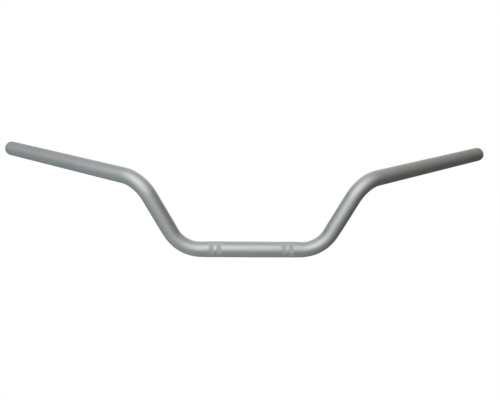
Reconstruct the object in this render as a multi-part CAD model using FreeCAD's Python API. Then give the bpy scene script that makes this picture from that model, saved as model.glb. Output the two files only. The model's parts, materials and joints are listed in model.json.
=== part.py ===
import FreeCAD, Part
import math
import os

# Motorcycle handlebar: one bent tube, closed at each end by a push-in plug.
# Origin: on the tube's axis, in the middle of the clamp section.
# +X runs along the clamp section to the rider's left, +Y back to the rider, +Z up.

# Driving dimensions, in millimetres and degrees.
TUBE_DIAMETER = 22.2
WALL = 3.0
CLAMP_STRAIGHT = 141.0      # straight run in the middle
BEND_RADIUS = 47.5          # of the tube's axis, the same at all four bends
RISER_ANGLE = 61.0          # between a riser and the clamp section
RISER_STRAIGHT = 57.5
GRIP_SWEEP = 30.5           # how far a grip run turns back towards the rider
GRIP_RISE = 5.5             # how far a grip run climbs towards its tip
GRIP_STRAIGHT = 240.5

KNURL_SPACING = 101.0       # between the middles of the two pairs of bands
KNURL_WIDTH = 7.2
KNURL_GAP = 3.2             # between the two bands of a pair
KNURL_HEIGHT = 0.08         # crest above the plain tube

PLUG_HEAD_LENGTH = 4.0
PLUG_HEAD_CLEARANCE = 0.1   # head's rim below the tube's surface, all round
PLUG_EDGE_RADIUS = 3.4      # rounded edge of the head
PLUG_CROWN = 0.4            # rise of the head's face at its middle
PLUG_STEM_LENGTH = 22.0
PLUG_STEM_RADIUS = 7.2
PLUG_RIB_COUNT = 5
PLUG_RIB_PITCH = 4.0
PLUG_RIB_LENGTH = 2.4
PLUG_RIB_CLEARANCE = 0.03   # rib's crest below the bore
BORE_OVERRUN = 1.0          # the bore's cutter passes each tip by this much

TUBE_RADIUS = TUBE_DIAMETER / 2
BORE_RADIUS = TUBE_RADIUS - WALL


def vector(x, y, z):
    return FreeCAD.Vector(x, y, z)


def headings():
    """Unit directions of the clamp section, the riser and the grip on the +X side."""
    riser = math.radians(RISER_ANGLE)
    sweep = math.radians(GRIP_SWEEP)
    rise = math.radians(GRIP_RISE)
    along_clamp = vector(1, 0, 0)
    up_riser = vector(math.cos(riser), 0, math.sin(riser))
    along_grip = vector(
        math.cos(rise) * math.cos(sweep),
        math.cos(rise) * math.sin(sweep),
        math.sin(rise),
    )
    return along_clamp, up_riser, along_grip


def bend_pivot(start, heading, new_heading):
    """Centre and axis of the bend that starts at a point and turns between two headings."""
    axis = heading.cross(new_heading).normalize()
    centre = start + axis.cross(heading) * BEND_RADIUS
    return centre, axis


def bend_finish(start, heading, new_heading):
    centre, axis = bend_pivot(start, heading, new_heading)
    return centre - axis.cross(new_heading) * BEND_RADIUS


def bend_piece(start, heading, new_heading, radius):
    """Solid rod of the given radius round one bend."""
    centre, axis = bend_pivot(start, heading, new_heading)
    section = Part.Face(Part.Wire(Part.makeCircle(radius, start, heading)))
    turn = math.degrees(heading.getAngle(new_heading))
    return section.revolve(centre, axis, turn)


def side_stations():
    """Start of the first bend, the riser, the second bend and the grip, then the tip."""
    along_clamp, up_riser, along_grip = headings()
    first_bend = along_clamp * (CLAMP_STRAIGHT / 2)
    riser = bend_finish(first_bend, along_clamp, up_riser)
    second_bend = riser + up_riser * RISER_STRAIGHT
    grip = bend_finish(second_bend, up_riser, along_grip)
    tip = grip + along_grip * GRIP_STRAIGHT
    return first_bend, riser, second_bend, grip, tip


def side_pieces(radius, overrun):
    """Bends, riser and grip of the +X side, as solid rods of the given radius."""
    along_clamp, up_riser, along_grip = headings()
    first_bend, riser, second_bend, grip, tip = side_stations()
    return [
        bend_piece(first_bend, along_clamp, up_riser, radius),
        Part.makeCylinder(radius, RISER_STRAIGHT, riser, up_riser),
        bend_piece(second_bend, up_riser, along_grip, radius),
        Part.makeCylinder(radius, GRIP_STRAIGHT + overrun, grip, along_grip),
    ]


def mirrored(shape):
    return shape.mirror(vector(0, 0, 0), vector(1, 0, 0))


def clamp_piece(radius, middle, length):
    """Rod on the clamp section's axis, centred at a distance along it."""
    start = vector(middle - length / 2, 0, 0)
    return Part.makeCylinder(radius, length, start, vector(1, 0, 0))


def whole_rod(radius, overrun):
    """Solid rod of the given radius along the whole bar."""
    side = side_pieces(radius, overrun)
    other_side = [mirrored(piece) for piece in side]
    middle = clamp_piece(radius, 0, CLAMP_STRAIGHT)
    return middle.multiFuse(side + other_side)


def knurl_bands():
    """Two pairs of raised bands, where the clamps grip the tube."""
    radius = TUBE_RADIUS + KNURL_HEIGHT
    to_band = (KNURL_WIDTH + KNURL_GAP) / 2
    bands = []
    for pair in (-KNURL_SPACING / 2, KNURL_SPACING / 2):
        for middle in (pair - to_band, pair + to_band):
            bands.append(clamp_piece(radius, middle, KNURL_WIDTH))
    return bands


def bar_tube():
    """The bent tube with its rolled bands, open right through."""
    outside = whole_rod(TUBE_RADIUS, 0).multiFuse(knurl_bands())
    bore = whole_rod(BORE_RADIUS, BORE_OVERRUN)
    return outside.cut(bore).removeSplitter()


def plug_head():
    """Rounded head that closes the tube's end, with its seat at height 0."""
    rim = TUBE_RADIUS - PLUG_HEAD_CLEARANCE
    shoulder = PLUG_HEAD_LENGTH - PLUG_CROWN
    flat = rim - PLUG_EDGE_RADIUS
    edge_centre = vector(flat, 0, shoulder - PLUG_EDGE_RADIUS)
    edge_start = edge_centre + vector(PLUG_EDGE_RADIUS, 0, 0)
    edge_middle = edge_centre + vector(1, 0, 1).normalize() * PLUG_EDGE_RADIUS
    edge_finish = edge_centre + vector(0, 0, PLUG_EDGE_RADIUS)
    crown_radius = (flat ** 2 + PLUG_CROWN ** 2) / (2 * PLUG_CROWN)
    crown_centre = vector(0, 0, PLUG_HEAD_LENGTH - crown_radius)
    crown_tilt = math.asin(flat / crown_radius) / 2
    crown_heading = vector(math.sin(crown_tilt), 0, math.cos(crown_tilt))
    crown_top = vector(0, 0, PLUG_HEAD_LENGTH)
    outline = Part.Wire([
        Part.makeLine(vector(0, 0, 0), vector(rim, 0, 0)),
        Part.makeLine(vector(rim, 0, 0), edge_start),
        Part.Arc(edge_start, edge_middle, edge_finish).toShape(),
        Part.Arc(edge_finish, crown_centre + crown_heading * crown_radius, crown_top).toShape(),
        Part.makeLine(crown_top, vector(0, 0, 0)),
    ])
    return Part.Face(outline).revolve(vector(0, 0, 0), vector(0, 0, 1), 360)


def plug_ribs():
    """Barbed rings on the stem that hold the plug in the bore."""
    crest = BORE_RADIUS - PLUG_RIB_CLEARANCE
    ribs = []
    for number in range(PLUG_RIB_COUNT):
        base = -PLUG_STEM_LENGTH + 1.0 + number * PLUG_RIB_PITCH
        foot = vector(0, 0, base)
        ribs.append(Part.makeCone(PLUG_STEM_RADIUS, crest, PLUG_RIB_LENGTH, foot))
    return ribs


def end_plug():
    """The plug in its place on the +X side: head, stem and ribs as one solid."""
    stem = Part.makeCylinder(PLUG_STEM_RADIUS, PLUG_STEM_LENGTH, vector(0, 0, -PLUG_STEM_LENGTH))
    plug = plug_head().multiFuse([stem] + plug_ribs()).removeSplitter()
    along_grip = headings()[2]
    tip = side_stations()[4]
    plug.Placement = FreeCAD.Placement(tip, FreeCAD.Rotation(vector(0, 0, 1), along_grip))
    return plug


def main():
    os.makedirs("parts", exist_ok=True)
    left_plug = end_plug()
    nodes = {
        "bar_tube": bar_tube(),
        "left_end_plug": left_plug,
        "right_end_plug": mirrored(left_plug),
    }
    for name, shape in nodes.items():
        shape.exportStep(f"parts/{name}.step")


main()
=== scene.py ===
import json
import math

import bpy
from mathutils import Matrix, Vector


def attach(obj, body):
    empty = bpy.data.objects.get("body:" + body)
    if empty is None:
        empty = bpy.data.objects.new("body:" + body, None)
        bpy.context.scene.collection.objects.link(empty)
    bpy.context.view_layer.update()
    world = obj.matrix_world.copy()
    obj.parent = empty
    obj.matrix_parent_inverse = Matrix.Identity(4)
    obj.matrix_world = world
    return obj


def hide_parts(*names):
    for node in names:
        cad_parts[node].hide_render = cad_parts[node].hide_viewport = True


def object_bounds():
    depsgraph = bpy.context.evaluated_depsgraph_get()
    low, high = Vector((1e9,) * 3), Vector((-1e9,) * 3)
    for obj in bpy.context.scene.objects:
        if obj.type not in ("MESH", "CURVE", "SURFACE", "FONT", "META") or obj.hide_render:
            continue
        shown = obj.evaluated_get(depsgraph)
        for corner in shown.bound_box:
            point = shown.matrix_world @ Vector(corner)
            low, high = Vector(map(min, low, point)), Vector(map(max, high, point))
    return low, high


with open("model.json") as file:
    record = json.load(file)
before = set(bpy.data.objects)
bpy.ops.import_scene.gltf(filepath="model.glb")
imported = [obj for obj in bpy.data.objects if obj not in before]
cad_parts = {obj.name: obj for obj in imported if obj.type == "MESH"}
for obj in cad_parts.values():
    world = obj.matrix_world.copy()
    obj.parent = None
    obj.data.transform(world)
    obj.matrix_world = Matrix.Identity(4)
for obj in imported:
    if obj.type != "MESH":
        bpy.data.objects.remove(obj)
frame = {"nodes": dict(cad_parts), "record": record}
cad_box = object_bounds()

# Sizes are in metres and angles in degrees.
# The bar is a straight tube blank, knurled in four bands and bent at four places.
# Its mounts in the record give its radius, its straight lengths and where its tips are.
BEND_RADIUS = 0.0475
RISER_ANGLE = 61.0
BORE_RADIUS = 0.0081
SIDES = 128                  # flats round the tube
ROUTE_STEPS = 64             # steps round each bend of the tube's axis
FLATTENING = 0.055           # how much a lower bend squeezes the section in its own plane
BEND_EASE = 0.010            # the squeeze fades over this much on each side of a bend's ends
TIP_EDGE = 0.0006            # rounding of the tube's cut edge
TIP_STEPS = 4                # flats across that rounding
WELD_DISTANCE = 0.000005     # closes the seams of the spun and bent tube

# Distances between the tube's rings.
CLAMP_STEP = 0.004
PAIR_GAP_STEP = 0.002
BEND_APPROACH_STEP = 0.003
BEND_STEP = 0.00125
STRAIGHT_STEP = 0.004
BORE_STRAIGHT_STEP = 0.008
BORE_BEND_STEP = 0.0025

KNURL_SPACING = 0.101        # between the middles of the two pairs of bands
KNURL_WIDTH = 0.0072
KNURL_GAP = 0.0032
KNURL_ROWS = 14              # half diamonds across a band
KNURL_CREST = 0.00004
KNURL_GROOVE = 0.00014
SMOOTH_BELOW = 0.1           # faces with less of the knurl mark than this are shaded smooth
KNURL_GUARD = 0.0003         # a plain ring this close to a band keeps its shading off the tube

PLUG_SIDES = 96
PLUG_EDGE_RADIUS = 0.0034
PLUG_CROWN = 0.0004
PLUG_LIP_RADIUS = 0.0003     # rounding of the head's lower rim
PLUG_STEM_RADIUS = 0.0072
PLUG_STEM_LENGTH = 0.022
PLUG_RIB_COUNT = 5
PLUG_RIB_PITCH = 0.004
PLUG_RIB_LENGTH = 0.0024
PLUG_RIB_CLEARANCE = 0.00003
PLUG_RIB_START = 0.001       # from the stem's foot to its first rib
PLUG_SHARP_ANGLE = 40.0      # edges sharper than this stay crisp
SEAT_TOLERANCE = 0.0001

SILVER_DARK = (0.505, 0.507, 0.505)
SILVER_LIGHT = (0.71, 0.712, 0.71)
SATIN_ROUGHNESS = 0.48
FLAKE_SCALE = 3200.0
CLOUD_SCALE = 26.0
PEEL_SCALE = 480.0
DRAW_LINE_SCALE = 1500.0
DRAW_LINE_STRETCH = 0.03     # the lines are this much finer across the tube than along it
GRAIN_SCALE = 1200.0
COAT_BUMP = 0.16
COAT_BUMP_HEIGHT = 0.00006

FLOOR_DROP = 0.36            # the bar is held this far above the floor
FLOOR_SIZE = 14.0

CAMERA_PLACE = (-0.02751, -0.60602, 0.19882)
CAMERA_RIGHT = (0.99917, -0.03711, 0.01678)
CAMERA_BACK = (-0.03977, -0.97776, 0.2059)
CAMERA_LENS = 32.4           # millimetres, as is the sensor
CAMERA_SENSOR = 36.0


# ---------------------------------------------------------------- node writing

class Value:
    """One output of a node, which takes part in Python arithmetic."""

    def __init__(self, maker, socket):
        self.maker = maker
        self.socket = socket

    def out(self, name):
        """Another output of the same node."""
        wanted = [s for s in self.socket.node.outputs if s.name == name and s.enabled]
        return Value(self.maker, wanted[0])

    def arithmetic(self, operation, first, second):
        vectors = [is_vector(first), is_vector(second)]
        if operation == "MULTIPLY" and vectors == [True, False]:
            return self.maker.add("ShaderNodeVectorMath", {"operation": "SCALE"},
                                  {0: first, "Scale": second})
        if operation == "MULTIPLY" and vectors == [False, True]:
            return self.arithmetic(operation, second, first)
        kind = "ShaderNodeVectorMath" if any(vectors) else "ShaderNodeMath"
        return self.maker.add(kind, {"operation": operation}, {0: first, 1: second})

    def __add__(self, other):
        return self.arithmetic("ADD", self, other)

    def __radd__(self, other):
        return self.arithmetic("ADD", other, self)

    def __sub__(self, other):
        return self.arithmetic("SUBTRACT", self, other)

    def __rsub__(self, other):
        return self.arithmetic("SUBTRACT", other, self)

    def __mul__(self, other):
        return self.arithmetic("MULTIPLY", self, other)

    def __rmul__(self, other):
        return self.arithmetic("MULTIPLY", other, self)

    def __truediv__(self, other):
        return self.arithmetic("DIVIDE", self, other)

    def __rtruediv__(self, other):
        return self.arithmetic("DIVIDE", other, self)

    def __mod__(self, other):
        return self.arithmetic("MODULO", self, other)

    def __rmod__(self, other):
        return self.arithmetic("MODULO", other, self)

    def __lt__(self, other):
        return self.arithmetic("LESS_THAN", self, other)

    def __gt__(self, other):
        """The reflected form of less than."""
        return self.arithmetic("GREATER_THAN", self, other)


def is_vector(thing):
    return isinstance(thing, Value) and thing.socket.type == "VECTOR"


class Maker:
    """Adds nodes to a tree."""

    def __init__(self, tree):
        self.tree = tree

    def add(self, kind, settings=None, inputs=None):
        """A node with its settings made first, then its inputs; gives its first output."""
        node = self.tree.nodes.new(kind)
        for name, setting in (settings or {}).items():
            setattr(node, name, setting)
        for name, value in (inputs or {}).items():
            self.feed(self.input_of(node, name), value)
        outputs = [socket for socket in node.outputs if socket.enabled]
        return Value(self, outputs[0]) if outputs else node

    def input_of(self, node, name):
        if isinstance(name, int):
            return node.inputs[name]
        return [socket for socket in node.inputs if socket.name == name and socket.enabled][0]

    def feed(self, socket, value):
        if isinstance(value, Value):
            self.tree.links.new(value.socket, socket)
        else:
            socket.default_value = value


# ---------------------------------------------------------------- the bar's route

mounts = {mount["name"]: mount for mount in frame["record"]["mounts"]}
clamp_seat = mounts["clamp_seat"]
left_seat = mounts["left_grip_seat"]
tube_radius = clamp_seat["dims"]["r_mm"] / 1000
clamp_half = clamp_seat["dims"]["length_mm"] / 2000
grip_straight = left_seat["dims"]["length_mm"] / 1000
left_tip = Vector(left_seat["pos_m"])
along_grip = Vector(left_seat["axis"]).normalized()
up_riser = Vector((math.cos(math.radians(RISER_ANGLE)), 0, math.sin(math.radians(RISER_ANGLE))))


def bend_setback(turn):
    """From a bend's corner to where its arc starts."""
    return BEND_RADIUS * math.tan(turn / 2)


lower_turn = math.radians(RISER_ANGLE)
upper_turn = up_riser.angle(along_grip)
lower_corner = Vector((clamp_half + bend_setback(lower_turn), 0, 0))
upper_corner = left_tip - along_grip * (grip_straight + bend_setback(upper_turn))
corner_distance = (upper_corner - lower_corner).length
riser_straight = corner_distance - bend_setback(lower_turn) - bend_setback(upper_turn)
lower_bend_end = clamp_half + BEND_RADIUS * lower_turn
riser_end = lower_bend_end + riser_straight
upper_bend_end = riser_end + BEND_RADIUS * upper_turn
half_length = upper_bend_end + grip_straight


def across(point):
    """The same place on the other side of the bar's middle plane."""
    return Vector((-point.x, point.y, point.z))


def mesh_object(name, places, edges=(), faces=()):
    mesh = bpy.data.meshes.new(name)
    mesh.from_pydata([tuple(place) for place in places], list(edges), list(faces))
    mesh.update()
    piece = bpy.data.objects.new(name, mesh)
    bpy.context.scene.collection.objects.link(piece)
    return piece


def route_line():
    """The tube's axis as straight runs between sharp corners, from tip to tip."""
    left_side = [lower_corner, upper_corner, left_tip]
    places = [across(place) for place in reversed(left_side)] + left_side
    edges = [(number, number + 1) for number in range(len(places) - 1)]
    return mesh_object("route", places, edges)


# ---------------------------------------------------------------- the straight blank

def stretch(start, finish, step):
    """Evenly spaced places from start up to, but without, finish."""
    count = max(1, round(abs(finish - start) / step))
    return [start + (finish - start) * number / count for number in range(count)]


def outside_places():
    """Rings from the middle to the tip: (place along the blank, part of a knurl band or not)."""
    pair = KNURL_SPACING / 2
    inner_near = pair - KNURL_GAP / 2 - KNURL_WIDTH
    inner_far = pair - KNURL_GAP / 2
    outer_near = pair + KNURL_GAP / 2
    outer_far = pair + KNURL_GAP / 2 + KNURL_WIDTH
    row = KNURL_WIDTH / KNURL_ROWS
    stretches = [
        (0, inner_near - KNURL_GUARD, CLAMP_STEP, False),
        (inner_near - KNURL_GUARD, inner_near, KNURL_GUARD, False),
        (inner_near, inner_far, row, True),
        (inner_far, inner_far + KNURL_GUARD, KNURL_GUARD, False),
        (inner_far + KNURL_GUARD, outer_near - KNURL_GUARD, PAIR_GAP_STEP, False),
        (outer_near - KNURL_GUARD, outer_near, KNURL_GUARD, False),
        (outer_near, outer_far, row, True),
        (outer_far, outer_far + KNURL_GUARD, KNURL_GUARD, False),
        (outer_far + KNURL_GUARD, clamp_half - BEND_EASE, BEND_APPROACH_STEP, False),
        (clamp_half - BEND_EASE, lower_bend_end + BEND_EASE, BEND_STEP, False),
        (lower_bend_end + BEND_EASE, riser_end - BEND_EASE, STRAIGHT_STEP, False),
        (riser_end - BEND_EASE, upper_bend_end + BEND_EASE, BEND_STEP, False),
        (upper_bend_end + BEND_EASE, half_length - TIP_EDGE, STRAIGHT_STEP, False),
    ]
    rings = []
    for start, finish, step, knurled in stretches:
        places = stretch(start, finish, step)
        rings += [(place, knurled and number > 0) for number, place in enumerate(places)]
    return rings


def tip_edge():
    """Rounded outer edge, flat end and rounded inner edge of one tip: (place, radius)."""
    edge = []
    for step in range(TIP_STEPS + 1):
        angle = math.radians(90 * step / TIP_STEPS)
        edge.append((half_length - TIP_EDGE * (1 - math.sin(angle)),
                     tube_radius - TIP_EDGE * (1 - math.cos(angle))))
    for step in range(TIP_STEPS + 1):
        angle = math.radians(90 * step / TIP_STEPS)
        edge.append((half_length - TIP_EDGE * (1 - math.cos(angle)),
                     BORE_RADIUS + TIP_EDGE * (1 - math.sin(angle))))
    return edge


def bore_places():
    """Rings of the bore from the tip's inner edge to the middle."""
    stretches = [
        (half_length - TIP_EDGE, upper_bend_end, BORE_STRAIGHT_STEP),
        (upper_bend_end, riser_end, BORE_BEND_STEP),
        (riser_end, lower_bend_end, BORE_STRAIGHT_STEP),
        (lower_bend_end, clamp_half, BORE_BEND_STEP),
        (clamp_half, 0, BORE_STRAIGHT_STEP),
    ]
    places = [place for start, finish, step in stretches for place in stretch(start, finish, step)]
    return places[1:] + [0.0]


def blank_outline():
    """Closed outline of the tube's wall: x along the blank, y the radius, and the knurl marks."""
    half = [(place, tube_radius, knurled) for place, knurled in outside_places()]
    half += [(place, radius, False) for place, radius in tip_edge()]
    half += [(place, BORE_RADIUS, False) for place in bore_places()]
    other_half = [(-place, radius, knurled) for place, radius, knurled in reversed(half[1:-1])]
    outline = half + other_half
    last = len(outline) - 1
    edges = [(number, number + 1) for number in range(last)]
    blank = mesh_object("blank", [(place, radius, 0) for place, radius, _ in outline], edges)
    knurl = blank.data.attributes.new("knurl", "FLOAT", "POINT")
    knurl.data.foreach_set("value", [float(knurled) for _, _, knurled in outline])
    return blank


# ---------------------------------------------------------------- knurling and bending

def new_tree(name, sockets):
    """An empty Geometry Nodes tree with named inputs: (name, socket type, starting value)."""
    tree = bpy.data.node_groups.new(name, "GeometryNodeTree")
    for socket_name, kind, start in sockets:
        socket = tree.interface.new_socket(socket_name, in_out="INPUT", socket_type=kind)
        if start is not None:
            socket.default_value = start
    tree.interface.new_socket("Geometry", in_out="OUTPUT", socket_type="NodeSocketGeometry")
    return tree


def bar_tree(finish):
    """Spins the outline into a tube, knurls it, and bends it along the route."""
    tree = new_tree("Knurled and bent tube", [
        ("Blank", "NodeSocketGeometry", None),
        ("Route", "NodeSocketObject", None),
        ("Sides", "NodeSocketInt", SIDES),
        ("Bend Radius", "NodeSocketFloat", BEND_RADIUS),
        ("Flattening", "NodeSocketFloat", FLATTENING),
        ("Bend Ease", "NodeSocketFloat", BEND_EASE),
        ("Flattened Half", "NodeSocketFloat", (lower_bend_end + riser_end) / 2),
        ("Knurl Crest", "NodeSocketFloat", KNURL_CREST),
        ("Knurl Groove", "NodeSocketFloat", KNURL_GROOVE),
    ])
    maker = Maker(tree)
    inputs = maker.add("NodeGroupInput")
    blank = inputs.out("Blank")
    sides = inputs.out("Sides")

    # one grid row for each point of the outline, and the first row again to close it
    rows = maker.add("GeometryNodeAttributeDomainSize", {}, {"Geometry": blank})
    grid = maker.add("GeometryNodeMeshGrid", {},
                     {"Vertices X": rows + 1, "Vertices Y": sides + 1})
    index = maker.add("GeometryNodeInputIndex")
    grid_row = maker.add("ShaderNodeMath", {"operation": "FLOOR"}, {0: (index + 0.5) / (sides + 1)})
    column = index - grid_row * (sides + 1)
    station = grid_row % rows

    place = maker.add("GeometryNodeSampleIndex", {"data_type": "FLOAT_VECTOR"},
                      {"Geometry": blank, "Value": maker.add("GeometryNodeInputPosition"),
                       "Index": station})
    knurl_mark = maker.add("GeometryNodeInputNamedAttribute", {"data_type": "FLOAT"},
                           {"Name": "knurl"})
    knurled = maker.add("GeometryNodeSampleIndex", {"data_type": "FLOAT"},
                        {"Geometry": blank, "Value": knurl_mark, "Index": station})
    along = maker.add("ShaderNodeSeparateXYZ", {}, {0: place})
    plain_radius = along.out("Y")

    # diamonds: neighbouring points of a knurled band are a crest and a groove by turns
    is_crest = ((grid_row + column) % 2.0) < 0.5
    crest_or_groove = is_crest * (inputs.out("Knurl Crest") + inputs.out("Knurl Groove"))
    radius = plain_radius + knurled * (crest_or_groove - inputs.out("Knurl Groove"))

    # the route with its corners rounded
    route = maker.add("GeometryNodeObjectInfo", {}, {"Object": inputs.out("Route")}).out("Geometry")
    line = maker.add("GeometryNodeMeshToCurve", {}, {"Mesh": route})
    rounded = maker.add("GeometryNodeFilletCurve", {"mode": "POLY"},
                        {"Curve": line, "Count": ROUTE_STEPS, "Radius": inputs.out("Bend Radius")})
    axis_line = maker.add("GeometryNodeSetCurveNormal", {"mode": "Z_UP"}, {"Curve": rounded})
    middle = maker.add("GeometryNodeCurveLength", {}, {"Curve": axis_line}) * 0.5
    travelled = along.out("X") + middle

    def on_route(distance):
        return maker.add("GeometryNodeSampleCurve", {"mode": "LENGTH", "use_all_curves": True},
                         {"Curves": axis_line, "Length": distance})

    here = on_route(travelled)
    heading = here.out("Tangent")
    sideways = here.out("Normal")
    upwards = maker.add("ShaderNodeVectorMath", {"operation": "CROSS_PRODUCT"},
                        {0: heading, 1: sideways})
    angle = column * (2 * math.pi) / sides
    cosine = maker.add("ShaderNodeMath", {"operation": "COSINE"}, {0: angle})
    sine = maker.add("ShaderNodeMath", {"operation": "SINE"}, {0: angle})
    offset = sideways * (radius * cosine) + upwards * (radius * sine)

    # a lower bend squeezes the section towards its axis, in the plane of the bend
    ease = inputs.out("Bend Ease")
    turning = (on_route(travelled + ease).out("Tangent") - on_route(travelled - ease).out("Tangent"))
    turning = turning * (inputs.out("Bend Radius") / (ease * 2.0))
    amount = maker.add("ShaderNodeVectorMath", {"operation": "LENGTH"}, {0: turning})
    inwards = maker.add("ShaderNodeVectorMath", {"operation": "NORMALIZE"}, {0: turning})
    in_plane = maker.add("ShaderNodeVectorMath", {"operation": "DOT_PRODUCT"},
                         {0: offset, 1: inwards})
    distance = maker.add("ShaderNodeMath", {"operation": "ABSOLUTE"}, {0: along.out("X")})
    is_lower = distance < inputs.out("Flattened Half")
    squeeze = in_plane * amount * is_lower * inputs.out("Flattening")
    surface = here.out("Position") + offset - inwards * squeeze

    shaped = maker.add("GeometryNodeSetPosition", {}, {"Geometry": grid, "Position": surface})
    marked = maker.add("GeometryNodeStoreNamedAttribute", {"data_type": "FLOAT"},
                       {"Geometry": shaped, "Name": "knurl", "Value": knurled})
    marked = maker.add("GeometryNodeStoreNamedAttribute", {"data_type": "FLOAT"},
                       {"Geometry": marked, "Name": "crest", "Value": knurled * is_crest})
    unrolled = maker.add("ShaderNodeCombineXYZ", {}, {"X": along.out("X"), "Y": angle * tube_radius})
    mapped = maker.add("GeometryNodeStoreNamedAttribute",
                       {"data_type": "FLOAT2", "domain": "CORNER"},
                       {"Geometry": marked, "Name": "unrolled", "Value": unrolled})
    closed = maker.add("GeometryNodeMergeByDistance", {},
                       {"Geometry": mapped, "Distance": WELD_DISTANCE})
    facing_out = maker.add("GeometryNodeFlipFaces", {}, {"Mesh": closed})
    triangles = maker.add("GeometryNodeTriangulate", {}, {"Mesh": facing_out})
    knurl_on_face = maker.add("GeometryNodeInputNamedAttribute", {"data_type": "FLOAT"},
                              {"Name": "knurl"})
    shaded = maker.add("GeometryNodeSetShadeSmooth", {},
                       {"Geometry": triangles, "Shade Smooth": knurl_on_face < SMOOTH_BELOW})
    real = maker.add("GeometryNodeRealizeInstances", {}, {"Geometry": shaded})
    finished = maker.add("GeometryNodeSetMaterial", {}, {"Geometry": real, "Material": finish})
    maker.add("NodeGroupOutput", {}, {"Geometry": finished})
    return tree


def baked_piece(name, carrier, tree, choices):
    """Runs a tree on a carrier object and keeps its result as a plain mesh piece."""
    modifier = carrier.modifiers.new(tree.name, "NODES")
    modifier.node_group = tree
    sockets = {item.name: item.identifier for item in tree.interface.items_tree
               if item.item_type == "SOCKET" and item.in_out == "INPUT"}
    for socket_name, choice in choices.items():
        modifier[sockets[socket_name]] = choice
    evaluated = carrier.evaluated_get(bpy.context.evaluated_depsgraph_get())
    mesh = bpy.data.meshes.new_from_object(evaluated)
    mesh.name = name
    carrier.modifiers.remove(modifier)
    bpy.data.objects.remove(carrier)
    piece = bpy.data.objects.new(name, mesh)
    bpy.context.scene.collection.objects.link(piece)
    return piece


def make_bar(finish):
    route = route_line()
    bar = baked_piece("bent_tube", blank_outline(), bar_tree(finish), {"Route": route})
    bpy.data.objects.remove(route)
    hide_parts("bar_tube")
    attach(bar, "root")


# ---------------------------------------------------------------- end plugs

def arc(centre_height, centre_radius, size, start, finish, steps):
    """Points of an arc in the outline's plane: (height, radius), angles from the radius side."""
    points = []
    for step in range(steps + 1):
        angle = math.radians(start + (finish - start) * step / steps)
        points.append((centre_height + size * math.sin(angle),
                       centre_radius + size * math.cos(angle)))
    return points


def plug_outline(rim, head_length):
    """Half outline of a plug from the middle of its face to the stem's foot."""
    shoulder = head_length - PLUG_CROWN
    flat = rim - PLUG_EDGE_RADIUS
    crown_radius = (flat ** 2 + PLUG_CROWN ** 2) / (2 * PLUG_CROWN)
    crown_start = 90 - math.degrees(math.asin(flat / crown_radius))
    outline = arc(head_length - crown_radius, 0, crown_radius, 90, crown_start, 8)
    outline += arc(shoulder - PLUG_EDGE_RADIUS, flat, PLUG_EDGE_RADIUS, 90, 0, 14)[1:]
    outline += arc(PLUG_LIP_RADIUS, rim - PLUG_LIP_RADIUS, PLUG_LIP_RADIUS, 0, -90, 4)
    outline.append((0, PLUG_STEM_RADIUS))
    crest = BORE_RADIUS - PLUG_RIB_CLEARANCE
    for number in reversed(range(PLUG_RIB_COUNT)):
        foot = -PLUG_STEM_LENGTH + PLUG_RIB_START + number * PLUG_RIB_PITCH
        outline += [(foot + PLUG_RIB_LENGTH, PLUG_STEM_RADIUS), (foot + PLUG_RIB_LENGTH, crest),
                    (foot, PLUG_STEM_RADIUS)]
    outline += [(-PLUG_STEM_LENGTH, PLUG_STEM_RADIUS), (-PLUG_STEM_LENGTH, 0)]
    return outline


def spun_mesh(name, outline, place):
    """A closed solid of revolution about +Z, moved to its place."""
    rings = outline[1:-1]
    places = [place @ Vector((0, 0, outline[0][0]))]
    for height, radius in rings:
        for side in range(PLUG_SIDES):
            turn = 2 * math.pi * side / PLUG_SIDES
            places.append(place @ Vector((radius * math.cos(turn), radius * math.sin(turn), height)))
    places.append(place @ Vector((0, 0, outline[-1][0])))
    faces = []
    for side in range(PLUG_SIDES):
        after = (side + 1) % PLUG_SIDES
        faces.append((0, 1 + side, 1 + after))
        for ring in range(len(rings) - 1):
            near = 1 + ring * PLUG_SIDES
            far = near + PLUG_SIDES
            faces.append((near + side, far + side, far + after, near + after))
        last = 1 + (len(rings) - 1) * PLUG_SIDES
        faces.append((last + side, len(places) - 1, last + after))
    piece = mesh_object(name, places, (), faces)
    piece.data.shade_smooth()
    piece.data.set_sharp_from_angle(angle=math.radians(PLUG_SHARP_ANGLE))
    return piece


def make_plug(node, seat, finish):
    """One end plug, sized from its CAD node, on the tip of its grip run."""
    tip = Vector(seat["pos_m"])
    outwards = Vector(seat["axis"]).normalized()
    places = [vertex.co - tip for vertex in frame["nodes"][node].data.vertices]
    head = [place for place in places if place.dot(outwards) > -SEAT_TOLERANCE]
    head_length = max(place.dot(outwards) for place in head)
    rim = max((place - outwards * place.dot(outwards)).length for place in head)
    place = Matrix.Translation(tip) @ outwards.to_track_quat("Z", "Y").to_matrix().to_4x4()
    plug = spun_mesh("plug_" + node.split("_")[0], plug_outline(rim, head_length), place)
    plug.data.materials.append(finish)
    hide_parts(node)
    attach(plug, "root")


# ---------------------------------------------------------------- finishes

def new_finish(name):
    material = bpy.data.materials.new(name)
    material.use_nodes = True
    material.node_tree.nodes.clear()
    return material, Maker(material.node_tree)


def grey_mix(maker, factor, first, second):
    """Blends two plain colours by a factor."""
    return maker.add("ShaderNodeMix", {"data_type": "RGBA"},
                     {"Factor": factor, "A": (*first, 1), "B": (*second, 1)})


def noise(maker, place, scale, detail=2.0):
    """Smooth noise about nought, its features about 1 / scale metres across."""
    return maker.add("ShaderNodeTexNoise", {}, {"Vector": place, "Scale": scale, "Detail": detail}) - 0.5


def flakes(maker, place):
    """Metal flakes in the coat: a random number from 0 to 1 for each."""
    cells = maker.add("ShaderNodeTexVoronoi", {}, {"Vector": place, "Scale": FLAKE_SCALE})
    return maker.add("ShaderNodeSeparateXYZ", {}, {0: cells.out("Color")})


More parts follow.
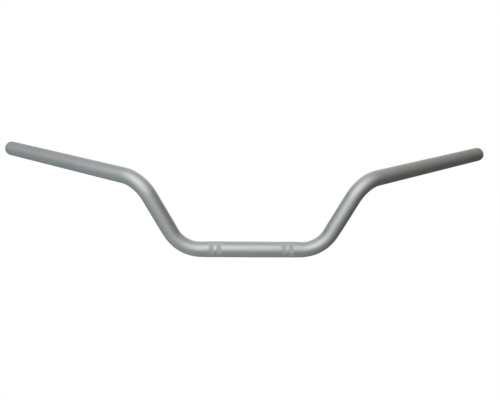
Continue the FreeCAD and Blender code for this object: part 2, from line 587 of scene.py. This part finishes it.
def draw_lines(maker):
    """Faint lines along the tube from drawing it, as noise wrapped round the unrolled surface."""
    unrolled = maker.add("ShaderNodeUVMap", {"uv_map": "unrolled"})
    along = maker.add("ShaderNodeSeparateXYZ", {}, {0: unrolled})
    angle = along.out("Y") * (1 / tube_radius)
    cosine = maker.add("ShaderNodeMath", {"operation": "COSINE"}, {0: angle})
    sine = maker.add("ShaderNodeMath", {"operation": "SINE"}, {0: angle})
    wrapped = maker.add("ShaderNodeCombineXYZ", {}, {
        "X": along.out("X") * DRAW_LINE_STRETCH, "Y": cosine * tube_radius, "Z": sine * tube_radius})
    return noise(maker, wrapped, DRAW_LINE_SCALE, 3.0)


def satin_coat(maker, place, lines, painted_light, roughening):
    """Satin silver coat: flake, orange peel, cloudy tone and what shows through of the metal; its colour
    can be lightened or darkened by painted highlight and shade.
    """
    flake = flakes(maker, place)
    cloud = noise(maker, place, CLOUD_SCALE, 3.0)
    peel = noise(maker, place, PEEL_SCALE)
    tone = (flake - 0.5) * 0.30 + cloud * 0.45 + lines * 0.35 + 0.5
    # painted highlight and shade from the caller lighten or darken the colour here
    colour = grey_mix(maker, tone + painted_light, SILVER_DARK, SILVER_LIGHT)
    height = peel * 0.7 + flake * 0.25 + lines * 0.35
    bump = maker.add("ShaderNodeBump", {}, {
        "Strength": COAT_BUMP, "Distance": COAT_BUMP_HEIGHT, "Height": height})
    roughness = cloud * 0.10 + (flake - 0.5) * 0.10 + lines * 0.06 + roughening + SATIN_ROUGHNESS
    return maker.add("ShaderNodeBsdfPrincipled", {}, {
        "Base Color": colour,
        "Metallic": 1.0,
        "Roughness": roughness,
        "Normal": bump,
    })


def tube_finish():
    """Satin silver, with a painted highlight on the knurl crests and painted shade in the grooves."""
    material, maker = new_finish("satin silver tube")
    place = maker.add("ShaderNodeTexCoord").out("Object")
    knurled = maker.add("ShaderNodeAttribute", {"attribute_name": "knurl"}).out("Fac")
    crest = maker.add("ShaderNodeAttribute", {"attribute_name": "crest"}).out("Fac")
    # painted light: knurl crests are painted lighter as a highlight, and the grooves slightly darker as
    # shade
    painted_light = crest * 0.9 - knurled * 0.05
    coat = satin_coat(maker, place, draw_lines(maker), painted_light, knurled * 0.2 - crest * 0.08)
    maker.add("ShaderNodeOutputMaterial", {}, {"Surface": coat})
    return material


def plug_finish():
    """The same satin silver on the moulded plugs, with a slightly uneven grain."""
    material, maker = new_finish("satin silver plug")
    place = maker.add("ShaderNodeTexCoord").out("Object")
    grain = noise(maker, place, GRAIN_SCALE, 3.0)
    coat = satin_coat(maker, place, grain, 0.0, 0.0)
    maker.add("ShaderNodeOutputMaterial", {}, {"Surface": coat})
    return material


# ---------------------------------------------------------------- stage, light and camera

def make_floor():
    height = cad_box[0][2] - FLOOR_DROP
    half = FLOOR_SIZE / 2
    corners = [(-half, -half, height), (half, -half, height), (half, half, height),
               (-half, half, height)]
    floor = mesh_object("floor", corners, (), [(0, 1, 2, 3)])
    material, maker = new_finish("pale floor")
    sheet = maker.add("ShaderNodeEmission", {}, {"Color": (1, 1, 1, 1), "Strength": 1.0})
    maker.add("ShaderNodeOutputMaterial", {}, {"Surface": sheet})
    floor.data.materials.append(material)
    floor.visible_glossy = False
    floor.visible_diffuse = False


def direction(around, above):
    """From the bar towards a light: degrees round to the right of the camera's side, and up."""
    turn = math.radians(around)
    lift = math.radians(above)
    return Vector((math.sin(turn) * math.cos(lift), -math.cos(turn) * math.cos(lift), math.sin(lift)))


# Light shining through the tent's wall: where from, how narrow, and its brightness by channel.
TENT_RADIUS = 1.7
TENT_LIGHTS = {
    "key": (direction(-20, 38), 3.5, (1.48, 1.55, 1.56)),
    "left_fill": (direction(-95, -40), 2.5, (0.24, 0.27, 0.295)),
    "left_top": (direction(-75, 25), 4.0, (0.075, 0.08, 0.085)),
    "right_top": (direction(60, 52), 4.0, (0.23, 0.215, 0.17)),
    "under": (direction(0, -75), 3.0, (0.29, 0.32, 0.30)),
    "back": (direction(178, 28), 3.8, (0.88, 0.88, 0.87)),
}


def make_tent(middle):
    """A round tent of diffusing cloth, lit from outside by soft lights that fade at their edges."""
    bpy.ops.mesh.primitive_ico_sphere_add(subdivisions=5, radius=TENT_RADIUS, location=middle)
    tent = bpy.context.object
    tent.name = "light_tent"
    material, maker = new_finish("lit tent cloth")
    place = maker.add("ShaderNodeTexCoord").out("Object")
    outwards = maker.add("ShaderNodeVectorMath", {"operation": "NORMALIZE"}, {0: place})
    glow = None
    for toward, narrowness, colour in TENT_LIGHTS.values():
        facing = maker.add("ShaderNodeVectorMath", {"operation": "DOT_PRODUCT"},
                           {0: outwards, 1: toward}).out("Value")
        fade = maker.add("ShaderNodeMath", {"operation": "EXPONENT"}, {0: (facing - 1.0) * narrowness})
        tint = maker.add("ShaderNodeCombineXYZ", {}, dict(zip("XYZ", colour)))
        glow = tint * fade if glow is None else glow + tint * fade
    light = maker.add("ShaderNodeEmission", {}, {"Color": glow, "Strength": 1.0})
    maker.add("ShaderNodeOutputMaterial", {}, {"Surface": light})
    tent.data.materials.append(material)
    tent.visible_camera = False


def make_light():
    world = bpy.data.worlds.new("white backdrop")
    world.use_nodes = True
    world.node_tree.nodes["Background"].inputs["Color"].default_value = (1, 1, 1, 1)
    bpy.context.scene.world = world
    make_tent((cad_box[0] + cad_box[1]) / 2)


def make_camera():
    camera = bpy.data.cameras.new("camera")
    camera.lens = CAMERA_LENS
    camera.sensor_width = CAMERA_SENSOR
    camera.clip_start = 0.01
    camera.clip_end = 100.0
    view = bpy.data.objects.new("camera", camera)
    back = Vector(CAMERA_BACK)
    up = back.cross(Vector(CAMERA_RIGHT)).normalized()
    right = up.cross(back).normalized()
    turned = Matrix((right, up, back.normalized())).transposed().to_4x4()
    view.matrix_world = Matrix.Translation(CAMERA_PLACE) @ turned
    bpy.context.scene.collection.objects.link(view)
    bpy.context.scene.camera = view


# ---------------------------------------------------------------- build

bpy.context.scene.view_settings.view_transform = "Standard"
make_camera()
make_light()
make_floor()
make_bar(tube_finish())
silver_plug = plug_finish()
make_plug("left_end_plug", left_seat, silver_plug)
make_plug("right_end_plug", mounts["right_grip_seat"], silver_plug)
